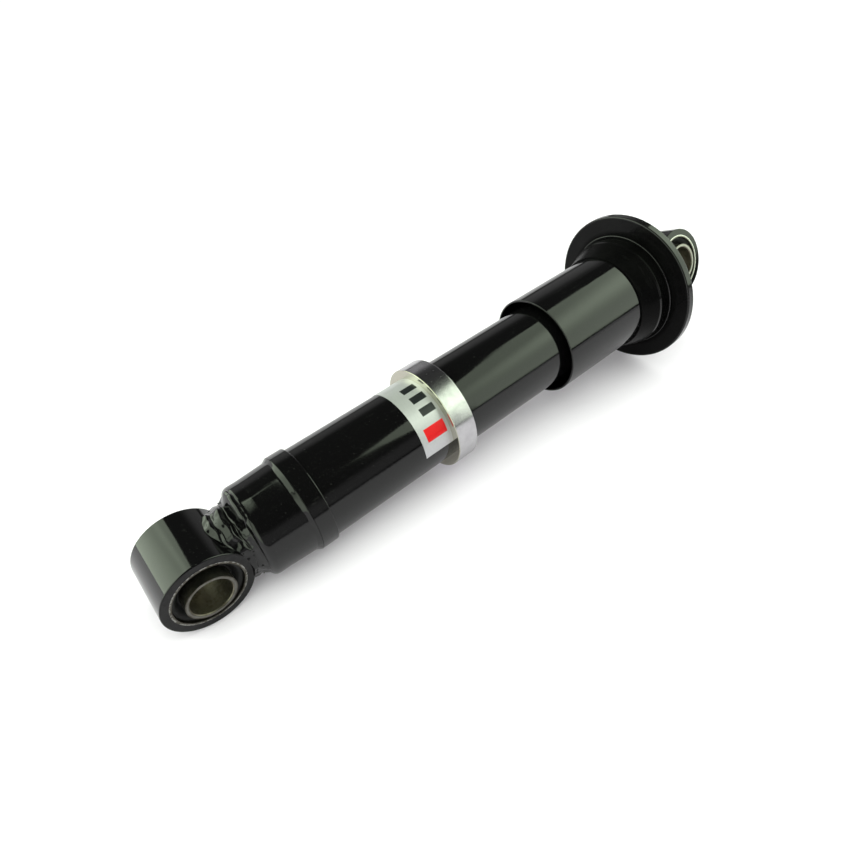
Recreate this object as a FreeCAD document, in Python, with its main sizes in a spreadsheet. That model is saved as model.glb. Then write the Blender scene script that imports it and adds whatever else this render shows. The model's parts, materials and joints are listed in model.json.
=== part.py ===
import FreeCAD, Part
import os
import Sketcher

# Rear shock absorber: an oil-filled twin-tube damper with a rubber-bushed eye at each end,
# a welded collar on its tube and a spring seat on its dust shroud.
# Frame: the origin is the centre of the lower eye, +X runs up the damper's axis to the upper
# eye, +Y runs along the lower eye's bore and +Z is up as the damper lies on its side.
# A "station" is a distance from the lower eye's centre along the axis. Everything is in mm.

os.makedirs("parts", exist_ok=True)

DIMENSIONS = {
    # the two eyes and their bushes
    "eye_spacing": 354.5,
    "eye_turn": -26,
    "eye_radius": 22,
    "eye_bore": 18,
    "sleeve_inside": 16.8,
    "rubber_inside": 12.04,
    "pin_radius": 12,
    "pin_bore": 10,
    "lower_eye_width": 34,
    "lower_rubber_width": 31,
    "lower_pin_width": 39,
    "upper_eye_width": 28.5,
    "upper_rubber_width": 25.5,
    "upper_pin_width": 33,
    "eye_rounding": 0.6,
    "pin_chamfer": 0.5,
    "no_length": 0,
    # the neck between the lower eye and the bottom cap
    "neck_root": 9,
    "neck_radius": 15.5,
    "neck_bead_radius": 18.8,
    "neck_bead_middle": 23,
    "neck_bead_foot": 19.6,
    "neck_side": 17,
    "clear_of_neck": 30,
    "clear_height": 60,
    # the reserve tube, tapered a little and spun in at its foot
    "tube_low": 27,
    "tube_high": 234,
    "tube_radius": 25,
    "tube_inside": 23.5,
    "foot_radius": 24.3,
    "foot_inside": 22.8,
    "foot_lip_radius": 20,
    "foot_rounding": 4.2,
    "foot_inside_rounding": 2.7,
    "lip_inside": 28.5,
    "swage_low": 36,
    "swage_high": 50,
    # the bottom cap
    "cap_inside": 33,
    # the lower collar and its weld
    "bead_low": 50,
    "collar_low": 53.5,
    "collar_high": 62.5,
    "collar_radius": 26.5,
    "collar_rounding": 0.5,
    "bead_radius": 26.2,
    # the label and the bright locating ring
    "label_low": 119.3,
    "label_radius": 25.15,
    "label_wrap": 240,
    "label_edge": 85,
    "ring_low": 137.5,
    "ring_high": 150.3,
    "ring_radius": 30,
    "ring_rounding": 0.4,
    # the working cylinder
    "cylinder_low": 40,
    "cylinder_high": 224,
    "cylinder_radius": 16.5,
    "cylinder_bore": 15,
    # the foot valve
    "foot_valve_seat": 36,
    "foot_valve_top": 45,
    "foot_valve_skirt": 13.5,
    "foot_slot_width": 8,
    "foot_stud_radius": 3,
    "foot_stud_low": 34.5,
    "foot_stud_head_low": 49.8,
    "foot_stud_head_high": 51.5,
    "foot_stud_head_radius": 5.5,
    "foot_plate_high": 45.8,
    "foot_plate_radius": 12.5,
    "foot_plate_bore": 3.1,
    "foot_spring_low": 45.85,
    "foot_spring_thickness": 0.3,
    "foot_spring_outside": 11,
    "foot_spring_inside": 3,
    "foot_hole_radius": 1.5,
    "foot_hole_circle": 9,
    "foot_hole_count": 6,
    # the rod guide and what closes the top of the tube
    "guide_low": 220,
    "guide_high": 229,
    "guide_groove": 226.5,
    "guide_groove_radius": 21.2,
    "guide_bore": 7.5,
    "bearing_bore": 6.54,
    "seal_bore": 6.51,
    "seal_high": 232.5,
    "seal_radius": 14,
    "wiper_high": 235.5,
    "wiper_radius": 11,
    "wiper_lip": 8.5,
    # the rod, its piston and the valve pack on it
    "rod_low": 183,
    "rod_radius": 6.5,
    "rod_shoulder": 209,
    "rod_tenon_radius": 5,
    "rod_top_shoulder": 304.5,
    "rod_stud_radius": 5.5,
    "rod_stud_top": 326,
    "nut_high": 189.4,
    "nut_flats": 16,
    "shims_high": 191,
    "shims_radius": 11.5,
    "piston_high": 204.2,
    "piston_radius": 14.8,
    "piston_groove_low": 194,
    "piston_groove_high": 201,
    "piston_groove_radius": 13.4,
    "band_low": 194.05,
    "band_high": 200.95,
    "band_radius": 14.96,
    "band_inside": 13.45,
    "piston_hole_radius": 1.3,
    "piston_hole_circle": 8.6,
    "piston_hole_count": 8,
    "intake_plate_high": 205,
    "intake_plate_radius": 12.5,
    "intake_plate_bore": 5.1,
    "intake_spring_low": 205.05,
    "intake_spring_thickness": 0.3,
    "intake_spring_outside": 11,
    "stop_washer_low": 207.5,
    "stop_washer_radius": 9,
    # the rebound stop on the rod
    "clip_low": 211.5,
    "rebound_stop_low": 213,
    "rebound_stop_high": 219.7,
    "clip_radius": 9,
    "rebound_stop_radius": 11,
    # the dust shroud, the bump pad and the spring seat
    "shroud_low": 225.8,
    "shroud_radius": 30.5,
    "shroud_inside": 29.5,
    "shroud_rounding": 0.4,
    "shroud_plate_low": 307.5,
    "seat_plate_low": 309,
    "washer_radius": 12,
    "pad_low": 303,
    "pad_inside": 14,
    "pad_outside": 26,
    "hub_low": 289,
    "hub_nose_radius": 31.3,
    "hub_edge": 302.4,
    "hub_radius": 36,
    "hub_step_low": 308.6,
    "hub_step_radius": 37.5,
    "hub_rounding": 0.5,
    "flange_low": 310.25,
    "flange_high": 315.5,
    "flange_radius": 49,
    "flange_rounding": 0.8,
    # the boss that screws the upper eye to the rod, measured from the upper eye's centre
    "boss_root": 16,
    "boss_foot": 39,
    "boss_bore_root": 28,
    "boss_radius": 11,
    "boss_bead_radius": 14.2,
    "boss_bead_foot": 26,
}

SAME_PLACE = 1e-6

document = FreeCAD.newDocument("rear_shock")
sheet = document.addObject("Spreadsheet::Sheet", "Dimensions")
for row, (alias, value) in enumerate(DIMENSIONS.items(), start=1):
    sheet.set(f"A{row}", alias)
    sheet.set(f"B{row}", str(value))
    sheet.setAlias(f"B{row}", alias)
document.recompute()


def cell(alias):
    """The expression that reads one named dimension."""
    return f"Dimensions.{alias}"


def origin_part(body, role):
    """An axis or plane of the body's own origin."""
    return next(part for part in body.Origin.OriginFeatures if part.Role == role)


def new_body(label):
    body = document.addObject("PartDesign::Body", label)
    body.Label = label
    return body


def new_sketch(body, plane, name):
    sketch = body.newObject("Sketcher::SketchObject", f"{body.Name}_{name}")
    sketch.AttachmentSupport = [(origin_part(body, plane), "")]
    sketch.MapMode = "FlatFace"
    return sketch


def bind(sketch, constraint, alias):
    """Add a size constraint to a sketch and let the sheet drive it."""
    index = sketch.addConstraint(constraint)
    sketch.setExpression(f"Constraints[{index}]", cell(alias))


def draw_outline(sketch, outline):
    """A closed outline of straight edges; each corner is a (station, radius) pair of aliases."""
    corners = [FreeCAD.Vector(DIMENSIONS[across], DIMENSIONS[up], 0) for across, up in outline]
    count = len(corners)
    for index in range(count):
        sketch.addGeometry(Part.LineSegment(corners[index], corners[(index + 1) % count]))
    for index in range(count):
        sketch.addConstraint(Sketcher.Constraint("Coincident", index, 2, (index + 1) % count, 1))
    for index, (across, up) in enumerate(outline):
        across_size = DIMENSIONS[across]
        bind(sketch, Sketcher.Constraint("DistanceX", -1, 1, index, 1, across_size), across)
        if up == "no_length":
            sketch.addConstraint(Sketcher.Constraint("PointOnObject", index, 1, -1))
        else:
            bind(sketch, Sketcher.Constraint("DistanceY", -1, 1, index, 1, DIMENSIONS[up]), up)


def draw_circle(sketch, radius, centre=None):
    """A circle at the sketch's origin, or at a distance along its first axis."""
    where = FreeCAD.Vector(DIMENSIONS[centre] if centre else 0, 0, 0)
    index = sketch.addGeometry(Part.Circle(where, FreeCAD.Vector(0, 0, 1), DIMENSIONS[radius]))
    if centre:
        bind(sketch, Sketcher.Constraint("DistanceX", -1, 1, index, 3, where.x), centre)
        sketch.addConstraint(Sketcher.Constraint("PointOnObject", index, 3, -1))
    else:
        sketch.addConstraint(Sketcher.Constraint("Coincident", index, 3, -1, 1))
    bind(sketch, Sketcher.Constraint("Radius", index, DIMENSIONS[radius]), radius)


def turned(label, outline, turn=None):
    """A piece turned about the damper's axis from a half section, or part of a turn of it."""
    body = new_body(label)
    sketch = new_sketch(body, "XZ_Plane", "section")
    draw_outline(sketch, outline)
    revolution = body.newObject("PartDesign::Revolution", f"{label}_revolution")
    revolution.Profile = sketch
    revolution.ReferenceAxis = (sketch, ["H_Axis"])
    if turn:
        revolution.setExpression("Angle", cell(turn))
    else:
        revolution.Angle = 360
    body.Tip = revolution
    return body


def ring_outline(low, high, inside, outside):
    """The half section of a plain ring."""
    return [(low, inside), (high, inside), (high, outside), (low, outside)]


def cross_ring(label, outside, inside, width):
    """A ring about the eye's own bore, centred on it."""
    body = new_body(label)
    sketch = new_sketch(body, "XZ_Plane", "ring")
    draw_circle(sketch, outside)
    draw_circle(sketch, inside)
    pad = body.newObject("PartDesign::Pad", f"{label}_pad")
    pad.Profile = sketch
    pad.SideType = "Symmetric"
    pad.Length = DIMENSIONS[width]
    pad.setExpression("Length", cell(width))
    body.Tip = pad
    return body


def cut_through(body, sketch, name):
    """Cut a sketch right through the body, both ways from its plane."""
    document.recompute()
    before = body.Shape.Volume
    pocket = body.newObject("PartDesign::Pocket", f"{body.Name}_{name}")
    pocket.Profile = sketch
    pocket.Type = "ThroughAll"
    pocket.SideType = "Symmetric"
    body.Tip = pocket
    document.recompute()
    if body.Shape.Volume >= before:
        raise RuntimeError(f"{body.Label}: {name} cut nothing")
    return pocket


def cut_eye_seat(body):
    """Shape a piece's end to the eye that it is welded to."""
    sketch = new_sketch(body, "XZ_Plane", "eye_seat")
    draw_circle(sketch, "eye_radius")
    cut_through(body, sketch, "seat_cut")


def trim_to_eye_width(bead):
    """Cut a weld bead back to the eye's side faces, as far along as the eye reaches."""
    document.recompute()
    before = bead.Shape.Volume
    sketch = new_sketch(bead, "YZ_Plane", "side")
    draw_slot(sketch, "neck_side", "clear_of_neck", "clear_height")
    pocket = bead.newObject("PartDesign::Pocket", f"{bead.Name}_side_cut")
    pocket.Profile = sketch
    pocket.Reversed = True
    pocket.Length = DIMENSIONS["eye_radius"]
    pocket.setExpression("Length", cell("eye_radius"))
    document.recompute()
    mirror = bead.newObject("PartDesign::Mirrored", f"{bead.Name}_other_side")
    mirror.Originals = [pocket]
    mirror.MirrorPlane = (origin_part(bead, "XZ_Plane"), [""])
    bead.Tip = mirror
    document.recompute()
    if bead.Shape.Volume >= before:
        raise RuntimeError(f"{bead.Label}: the side cut took nothing away")


def drill_circle(body, hole_radius, circle_radius, hole_count):
    """Drill a circle of holes along the damper's axis."""
    sketch = new_sketch(body, "YZ_Plane", "hole")
    draw_circle(sketch, hole_radius, circle_radius)
    pocket = cut_through(body, sketch, "hole_cut")
    pattern = body.newObject("PartDesign::PolarPattern", f"{body.Name}_holes")
    pattern.Originals = [pocket]
    pattern.Axis = (origin_part(body, "X_Axis"), [""])
    pattern.Angle = 360
    pattern.Occurrences = int(DIMENSIONS[hole_count])
    body.Tip = pattern


def rim_edges(shape, radius, station):
    """The names of the circular edges of one radius that are centred on one station."""
    names = []
    for index, edge in enumerate(shape.Edges, start=1):
        circle = edge.Curve
        if not isinstance(circle, Part.Circle):
            continue
        at_station = abs(circle.Center.x - DIMENSIONS[station]) < SAME_PLACE
        at_radius = abs(circle.Radius - DIMENSIONS[radius]) < SAME_PLACE
        if at_station and at_radius:
            names.append(f"Edge{index}")
    return names


def round_rim(body, radius, rounding, station="no_length"):
    """Round the rims of one radius at a station; an eye's rims are centred on its own bore."""
    document.recompute()
    base = body.Tip
    name = f"{body.Name}_{radius}_{station}_rounding"
    fillet = body.newObject("PartDesign::Fillet", name)
    fillet.Base = (base, rim_edges(base.Shape, radius, station))
    fillet.Radius = DIMENSIONS[rounding]
    fillet.setExpression("Radius", cell(rounding))
    body.Tip = fillet


def chamfer_rim(body, radius, chamfer_size):
    """Chamfer both rims of one radius on a ring about an eye's bore."""
    document.recompute()
    base = body.Tip
    chamfer = body.newObject("PartDesign::Chamfer", f"{body.Name}_{radius}_chamfer")
    chamfer.Base = (base, rim_edges(base.Shape, radius, "no_length"))
    chamfer.Size = DIMENSIONS[chamfer_size]
    chamfer.setExpression("Size", cell(chamfer_size))
    body.Tip = chamfer


def make_bush(end):
    """The eye ring of one end with its rubber-and-metal bush."""
    eye = cross_ring(f"{end}_eye", "eye_radius", "eye_bore", f"{end}_eye_width")
    round_rim(eye, "eye_radius", "eye_rounding")
    sleeve = cross_ring(f"{end}_bush_sleeve", "eye_bore", "sleeve_inside", f"{end}_eye_width")
    rubber = cross_ring(
        f"{end}_bush_rubber", "sleeve_inside", "rubber_inside", f"{end}_rubber_width")
    pin_sleeve = cross_ring(
        f"{end}_bush_pin_sleeve", "pin_radius", "pin_bore", f"{end}_pin_width")
    chamfer_rim(pin_sleeve, "pin_bore", "pin_chamfer")
    return [eye, sleeve, rubber, pin_sleeve]


def make_lower_end():
    """The lower eye, the bottom cap whose neck carries it, and the weld between them."""
    pieces = make_bush("lower")
    cap = turned("bottom_cap", [
        ("neck_root", "no_length"),
        ("cap_inside", "no_length"),
        ("cap_inside", "foot_inside"),
        ("lip_inside", "foot_inside"),
        ("lip_inside", "neck_radius"),
        ("neck_root", "neck_radius"),
    ])
    cut_eye_seat(cap)
    round_rim(cap, "foot_inside", "foot_inside_rounding", "lip_inside")
    bead = turned("lower_eye_weld", [
        ("neck_root", "neck_radius"),
        ("lip_inside", "neck_radius"),
        ("lip_inside", "neck_bead_foot"),
        ("tube_low", "neck_bead_foot"),
        ("neck_bead_middle", "neck_bead_radius"),
        ("neck_root", "neck_bead_radius"),
    ])
    cut_eye_seat(bead)
    trim_to_eye_width(bead)
    return pieces + [cap, bead]


def make_upper_end():
    """The upper eye with the boss that screws on the rod, turned to its angle about the axis."""
    pieces = make_bush("upper")
    boss = turned("upper_eye_boss", [
        ("boss_root", "no_length"),
        ("boss_bore_root", "no_length"),
        ("boss_bore_root", "rod_stud_radius"),
        ("boss_foot", "rod_stud_radius"),
        ("boss_foot", "boss_radius"),
        ("boss_root", "boss_radius"),
    ])
    cut_eye_seat(boss)
    bead = turned("upper_eye_weld", [
        ("boss_root", "boss_radius"),
        ("boss_bead_foot", "boss_radius"),
        ("neck_bead_middle", "boss_bead_radius"),
        ("boss_root", "boss_bead_radius"),
    ])
    cut_eye_seat(bead)
    pieces += [boss, bead]
    face_down = FreeCAD.Rotation(FreeCAD.Vector(0, 0, 1), 180)
    turn = FreeCAD.Rotation(FreeCAD.Vector(1, 0, 0), DIMENSIONS["eye_turn"])
    for piece in pieces:
        piece.Placement = FreeCAD.Placement(FreeCAD.Vector(0, 0, 0), turn * face_down)
        piece.setExpression("Placement.Base.x", cell("eye_spacing"))
    return pieces


def make_tube():
    """The outer tube with its collar, its locating ring and its label."""
    tube = turned("reserve_tube", [
        ("tube_low", "foot_lip_radius"),
        ("lip_inside", "foot_lip_radius"),
        ("lip_inside", "foot_inside"),
        ("swage_low", "foot_inside"),
        ("swage_high", "tube_inside"),
        ("tube_high", "tube_inside"),
        ("tube_high", "tube_radius"),
        ("swage_high", "tube_radius"),
        ("swage_low", "foot_radius"),
        ("tube_low", "foot_radius"),
    ])
    round_rim(tube, "foot_radius", "foot_rounding", "tube_low")
    round_rim(tube, "foot_inside", "foot_inside_rounding", "lip_inside")
    collar = turned("lower_collar", ring_outline(
        "collar_low", "collar_high", "tube_radius", "collar_radius"))
    round_rim(collar, "collar_radius", "collar_rounding", "collar_high")
    bead = turned("collar_weld", [
        ("bead_low", "tube_radius"),
        ("collar_low", "tube_radius"),
        ("collar_low", "bead_radius"),
    ])
    ring = turned("locating_ring", ring_outline(
        "ring_low", "ring_high", "tube_radius", "ring_radius"))
    round_rim(ring, "ring_radius", "ring_rounding", "ring_low")
    round_rim(ring, "ring_radius", "ring_rounding", "ring_high")
    label = turned("label", ring_outline(
        "label_low", "ring_low", "tube_radius", "label_radius"), turn="label_wrap")
    back_edge = DIMENSIONS["label_edge"] - DIMENSIONS["label_wrap"]
    turn = FreeCAD.Rotation(FreeCAD.Vector(1, 0, 0), back_edge)
    label.Placement = FreeCAD.Placement(FreeCAD.Vector(0, 0, 0), turn)
    return [tube, collar, bead, ring, label]


def make_foot_valve():
    """The valve at the bottom of the working cylinder, with its plate, spring and stud."""
    valve = turned("foot_valve_body", [
        ("foot_valve_seat", "foot_stud_radius"),
        ("foot_valve_top", "foot_stud_radius"),
        ("foot_valve_top", "cylinder_bore"),
        ("cylinder_low", "cylinder_bore"),
        ("cylinder_low", "cylinder_radius"),
        ("cap_inside", "cylinder_radius"),
        ("cap_inside", "foot_valve_skirt"),
        ("foot_valve_seat", "foot_valve_skirt"),
    ])
    for plane in ("XZ_Plane", "XY_Plane"):
        sketch = new_sketch(valve, plane, f"slot_{plane}")
        draw_slot(sketch, "cap_inside", "foot_valve_seat", "foot_slot_width")
        cut_through(valve, sketch, f"slot_cut_{plane}")
    drill_circle(valve, "foot_hole_radius", "foot_hole_circle", "foot_hole_count")
    stud = turned("foot_valve_stud", [
        ("foot_stud_low", "no_length"),
        ("foot_stud_head_high", "no_length"),
        ("foot_stud_head_high", "foot_stud_head_radius"),
        ("foot_stud_head_low", "foot_stud_head_radius"),
        ("foot_stud_head_low", "foot_stud_radius"),
        ("foot_valve_seat", "foot_stud_radius"),
        ("foot_valve_seat", "foot_stud_head_radius"),
        ("foot_stud_low", "foot_stud_head_radius"),
    ])
    plate = turned("foot_valve_plate", ring_outline(
        "foot_valve_top", "foot_plate_high", "foot_plate_bore", "foot_plate_radius"))
    spring = cone_spring("foot_valve_spring", "foot_spring_low", "foot_stud_head_low",
                         "foot_spring_inside", "foot_spring_outside", "foot_spring_thickness")
    return [valve, stud, plate, spring]


def draw_slot(sketch, low, high, width):
    """A rectangle across the axis, as wide as the slot, between two stations."""
    half = DIMENSIONS[width] / 2
    left = DIMENSIONS[low]
    right = DIMENSIONS[high]
    corners = [(left, -half), (right, -half), (right, half), (left, half)]
    points = [FreeCAD.Vector(across, up, 0) for across, up in corners]
    for index in range(4):
        sketch.addGeometry(Part.LineSegment(points[index], points[(index + 1) % 4]))
    for index in range(4):
        sketch.addConstraint(Sketcher.Constraint("Coincident", index, 2, (index + 1) % 4, 1))
    for index, direction in enumerate(["Horizontal", "Vertical", "Horizontal"]):
        sketch.addConstraint(Sketcher.Constraint(direction, index))
    sketch.addConstraint(Sketcher.Constraint("Symmetric", 0, 1, 3, 1, -1))
    bind(sketch, Sketcher.Constraint("DistanceX", -1, 1, 0, 1, left), low)
    bind(sketch, Sketcher.Constraint("DistanceX", -1, 1, 1, 1, right), high)
    bind(sketch, Sketcher.Constraint("DistanceY", 1, 1, 1, 2, 2 * half), width)


def cone_spring(label, low, high, inside, outside, thickness):
    """A coned disc spring: a thin washer pressed into a shallow cone that narrows upwards."""
    small = Part.makeCone(
        DIMENSIONS[outside],
        DIMENSIONS[inside] + DIMENSIONS[thickness],
        DIMENSIONS[high] - DIMENSIONS[low] - DIMENSIONS[thickness],
        FreeCAD.Vector(DIMENSIONS[low] + DIMENSIONS[thickness], 0, 0),
        FreeCAD.Vector(1, 0, 0),
    )
    large = small.translated(FreeCAD.Vector(-DIMENSIONS[thickness], 0, 0))
    bore = Part.makeCylinder(
        DIMENSIONS[inside] + 2 * DIMENSIONS[thickness],
        DIMENSIONS[high] - DIMENSIONS[low],
        FreeCAD.Vector(DIMENSIONS[low], 0, 0),
        FreeCAD.Vector(1, 0, 0),
    )
    spring = document.addObject("Part::Feature", label)
    spring.Label = label
    spring.Shape = small.cut(large).cut(bore)
    return spring


def make_gland():
    """The working cylinder, the rod guide on it and the seals that close the tube."""
    cylinder = turned("working_cylinder", ring_outline(
        "cylinder_low", "cylinder_high", "cylinder_bore", "cylinder_radius"))
    guide = turned("rod_guide", [
        ("guide_low", "guide_bore"),
        ("guide_high", "guide_bore"),
        ("guide_high", "guide_groove_radius"),
        ("guide_groove", "guide_groove_radius"),
        ("guide_groove", "tube_inside"),
        ("cylinder_high", "tube_inside"),
        ("cylinder_high", "cylinder_bore"),
        ("guide_low", "cylinder_bore"),
    ])
    bearing = turned("guide_bearing", ring_outline(
        "guide_low", "guide_high", "bearing_bore", "guide_bore"))
    tube_seal = turned("tube_seal_ring", ring_outline(
        "guide_groove", "guide_high", "guide_groove_radius", "tube_inside"))
    rod_seal = turned("rod_seal", ring_outline(
        "guide_high", "seal_high", "seal_bore", "seal_radius"))
    nut = turned("gland_nut", [
        ("guide_high", "seal_radius"),
        ("seal_high", "seal_radius"),
        ("seal_high", "wiper_radius"),
        ("tube_high", "wiper_radius"),
        ("tube_high", "tube_inside"),
        ("guide_high", "tube_inside"),
    ])
    wiper = turned("rod_wiper", [
        ("seal_high", "seal_bore"),
        ("wiper_high", "seal_bore"),
        ("wiper_high", "wiper_lip"),
        ("tube_high", "wiper_radius"),
        ("seal_high", "wiper_radius"),
    ])
    return [cylinder, guide, bearing, tube_seal, rod_seal, nut, wiper]


def make_rod():
    """The piston rod with the piston, its valve pack and the rebound stop."""
    rod = turned("piston_rod", [
        ("rod_low", "no_length"),
        ("rod_stud_top", "no_length"),
        ("rod_stud_top", "rod_stud_radius"),
        ("rod_top_shoulder", "rod_stud_radius"),
        ("rod_top_shoulder", "rod_radius"),
        ("rod_shoulder", "rod_radius"),
        ("rod_shoulder", "rod_tenon_radius"),
        ("rod_low", "rod_tenon_radius"),
    ])
    piston = turned("piston", [
        ("shims_high", "rod_tenon_radius"),
        ("piston_high", "rod_tenon_radius"),
        ("piston_high", "piston_radius"),
        ("piston_groove_high", "piston_radius"),
        ("piston_groove_high", "piston_groove_radius"),
        ("piston_groove_low", "piston_groove_radius"),
        ("piston_groove_low", "piston_radius"),
        ("shims_high", "piston_radius"),
    ])
    drill_circle(piston, "piston_hole_radius", "piston_hole_circle", "piston_hole_count")
    band = turned("piston_band", ring_outline(
        "band_low", "band_high", "band_inside", "band_radius"))
    shims = turned("rebound_shims", ring_outline(
        "nut_high", "shims_high", "rod_tenon_radius", "shims_radius"))
    plate = turned("intake_plate", ring_outline(
        "piston_high", "intake_plate_high", "intake_plate_bore", "intake_plate_radius"))
    spring = cone_spring("intake_spring", "intake_spring_low", "stop_washer_low",
                         "rod_tenon_radius", "intake_spring_outside", "intake_spring_thickness")
    washer = turned("intake_stop_washer", ring_outline(
        "stop_washer_low", "rod_shoulder", "rod_tenon_radius", "stop_washer_radius"))
    clip = turned("rebound_stop_clip", ring_outline(
        "clip_low", "rebound_stop_low", "rod_radius", "clip_radius"))
    stop = turned("rebound_stop", ring_outline(
        "rebound_stop_low", "rebound_stop_high", "rod_radius", "rebound_stop_radius"))
    return [rod, piston, band, shims, plate, spring, washer, clip, stop, make_piston_nut()]


def make_piston_nut():
    """The hexagon nut that holds the piston and its valve pack on the rod."""
    nut = new_body("piston_nut")
    sketch = new_sketch(nut, "YZ_Plane", "hexagon")
    corner_radius = DIMENSIONS["nut_flats"] / 3 ** 0.5
    turns = [FreeCAD.Rotation(FreeCAD.Vector(0, 0, 1), 60 * side) for side in range(6)]
    corners = [turn.multVec(FreeCAD.Vector(corner_radius, 0, 0)) for turn in turns]
    for side in range(6):
        sketch.addGeometry(Part.LineSegment(corners[side], corners[(side + 1) % 6]))
    guide = sketch.addGeometry(
        Part.Circle(FreeCAD.Vector(0, 0, 0), FreeCAD.Vector(0, 0, 1), corner_radius), True)
    sketch.addConstraint(Sketcher.Constraint("Coincident", guide, 3, -1, 1))
    for side in range(6):
        sketch.addConstraint(Sketcher.Constraint("Coincident", side, 2, (side + 1) % 6, 1))
        sketch.addConstraint(Sketcher.Constraint("PointOnObject", side, 1, guide))
    for side in range(5):
        sketch.addConstraint(Sketcher.Constraint("Equal", side, side + 1))
    sketch.addConstraint(Sketcher.Constraint("PointOnObject", 0, 1, -1))
    radius = sketch.addConstraint(Sketcher.Constraint("Radius", guide, corner_radius))
    sketch.setExpression(f"Constraints[{radius}]", "Dimensions.nut_flats / sqrt(3)")
    draw_circle(sketch, "rod_tenon_radius")
    pad = nut.newObject("PartDesign::Pad", "piston_nut_pad")
    pad.Profile = sketch
    pad.Length = DIMENSIONS["nut_high"] - DIMENSIONS["rod_low"]
    pad.setExpression("Length", "Dimensions.nut_high - Dimensions.rod_low")
    nut.Tip = pad
    nut.setExpression("Placement.Base.x", cell("rod_low"))
    return nut


def make_shroud():
    """The dust shroud, the bump pad inside it and the spring seat around it."""
    shroud = turned("dust_shroud", [
        ("shroud_low", "shroud_inside"),
        ("shroud_plate_low", "shroud_inside"),
        ("shroud_plate_low", "rod_stud_radius"),
        ("seat_plate_low", "rod_stud_radius"),
        ("seat_plate_low", "shroud_radius"),
        ("shroud_low", "shroud_radius"),
    ])
    round_rim(shroud, "shroud_radius", "shroud_rounding", "shroud_low")
    washer = turned("shroud_washer", ring_outline(
        "rod_top_shoulder", "shroud_plate_low", "rod_stud_radius", "washer_radius"))
    pad = turned("bump_pad", ring_outline(
        "pad_low", "shroud_plate_low", "pad_inside", "pad_outside"))
    seat = turned("spring_seat", [
        ("hub_low", "shroud_radius"),
        ("seat_plate_low", "shroud_radius"),
        ("seat_plate_low", "rod_stud_radius"),
        ("flange_high", "rod_stud_radius"),
        ("flange_high", "flange_radius"),
        ("flange_low", "flange_radius"),
        ("flange_low", "hub_step_radius"),
        ("hub_step_low", "hub_step_radius"),
        ("hub_step_low", "hub_radius"),
        ("hub_edge", "hub_radius"),
        ("hub_low", "hub_nose_radius"),
    ])
    round_rim(seat, "flange_radius", "flange_rounding", "flange_low")
    round_rim(seat, "flange_radius", "flange_rounding", "flange_high")
    round_rim(seat, "hub_radius", "hub_rounding", "hub_edge")
    round_rim(seat, "hub_step_radius", "hub_rounding", "hub_step_low")
    return [shroud, washer, pad, seat]


def check(pieces):
    """Stop at any object that failed to build and any piece that isn't one sound solid."""
    for item in document.Objects:
        if "Invalid" in item.State or "Error" in item.State:
            raise RuntimeError(f"{item.Label} failed: {item.State}")
    for piece in pieces:
        shape = piece.Shape
        if shape.isNull() or not shape.isValid() or len(shape.Solids) != 1:
            raise RuntimeError(f"{piece.Label} isn't one sound solid")


pieces = (
    make_lower_end()
    + make_tube()
    + make_foot_valve()
    + make_gland()
    + make_rod()
    + make_shroud()
    + make_upper_end()
)
document.recompute()
check(pieces)
for piece in pieces:
    piece.Shape.exportStep(f"parts/{piece.Label}.step")
    box = piece.Shape.BoundBox
    print(f"{piece.Label:22s} {piece.Shape.Volume:10.1f} mm3   x {box.XMin:7.2f} to {box.XMax:7.2f}"
          f"   y {box.YMin:7.2f} to {box.YMax:7.2f}   z {box.ZMin:7.2f} to {box.ZMax:7.2f}")
print(len(pieces), "pieces")
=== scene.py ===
# %% [markdown]
# # A rear shock absorber, finished in Blender
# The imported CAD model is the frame: every size and place below is read from
# it. This lesson lights it as in a small studio, gives every piece a finish
# made of nodes, and builds anew the few pieces that a lathe or a drawing
# can't describe: weld beads and moulded rubber.

import json
import math
import random

import bmesh
import bpy
from mathutils import Matrix, Vector, noise


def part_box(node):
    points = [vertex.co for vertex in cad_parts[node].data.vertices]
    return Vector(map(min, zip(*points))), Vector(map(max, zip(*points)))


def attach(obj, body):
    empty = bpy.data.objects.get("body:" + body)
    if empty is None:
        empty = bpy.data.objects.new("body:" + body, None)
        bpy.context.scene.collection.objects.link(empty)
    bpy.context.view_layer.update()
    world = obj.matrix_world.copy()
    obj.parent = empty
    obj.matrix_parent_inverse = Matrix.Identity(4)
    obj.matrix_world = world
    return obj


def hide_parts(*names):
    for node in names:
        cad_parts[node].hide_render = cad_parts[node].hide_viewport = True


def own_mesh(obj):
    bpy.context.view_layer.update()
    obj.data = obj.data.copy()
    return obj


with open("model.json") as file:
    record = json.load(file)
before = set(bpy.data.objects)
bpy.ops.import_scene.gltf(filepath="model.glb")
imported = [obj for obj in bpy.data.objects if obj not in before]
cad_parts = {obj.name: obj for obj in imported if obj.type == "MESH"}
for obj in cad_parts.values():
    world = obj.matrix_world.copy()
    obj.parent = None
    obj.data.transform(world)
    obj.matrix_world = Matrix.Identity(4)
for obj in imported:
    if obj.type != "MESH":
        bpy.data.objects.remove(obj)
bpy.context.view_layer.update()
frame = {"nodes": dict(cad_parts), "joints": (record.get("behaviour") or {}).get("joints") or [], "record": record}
nodes = frame["nodes"]
MM = 0.001

# %% [markdown]
# ## Camera
# The damper was looked at from close by with a wide lens, so its near end
# looks much larger than its far end. A camera is a place, a point it aims at
# and a direction that is up in the picture; the three make its axes.

# %% Camera
CAMERA_PLACE = Vector((2.9, -190.7, 234.4)) * MM
CAMERA_AIM = Vector((135.3, -4.2, 0.0)) * MM
PICTURE_UP = Vector((0.503, 0.515, 0.694))
FIELD_OF_VIEW = math.radians(70.6)


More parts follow.
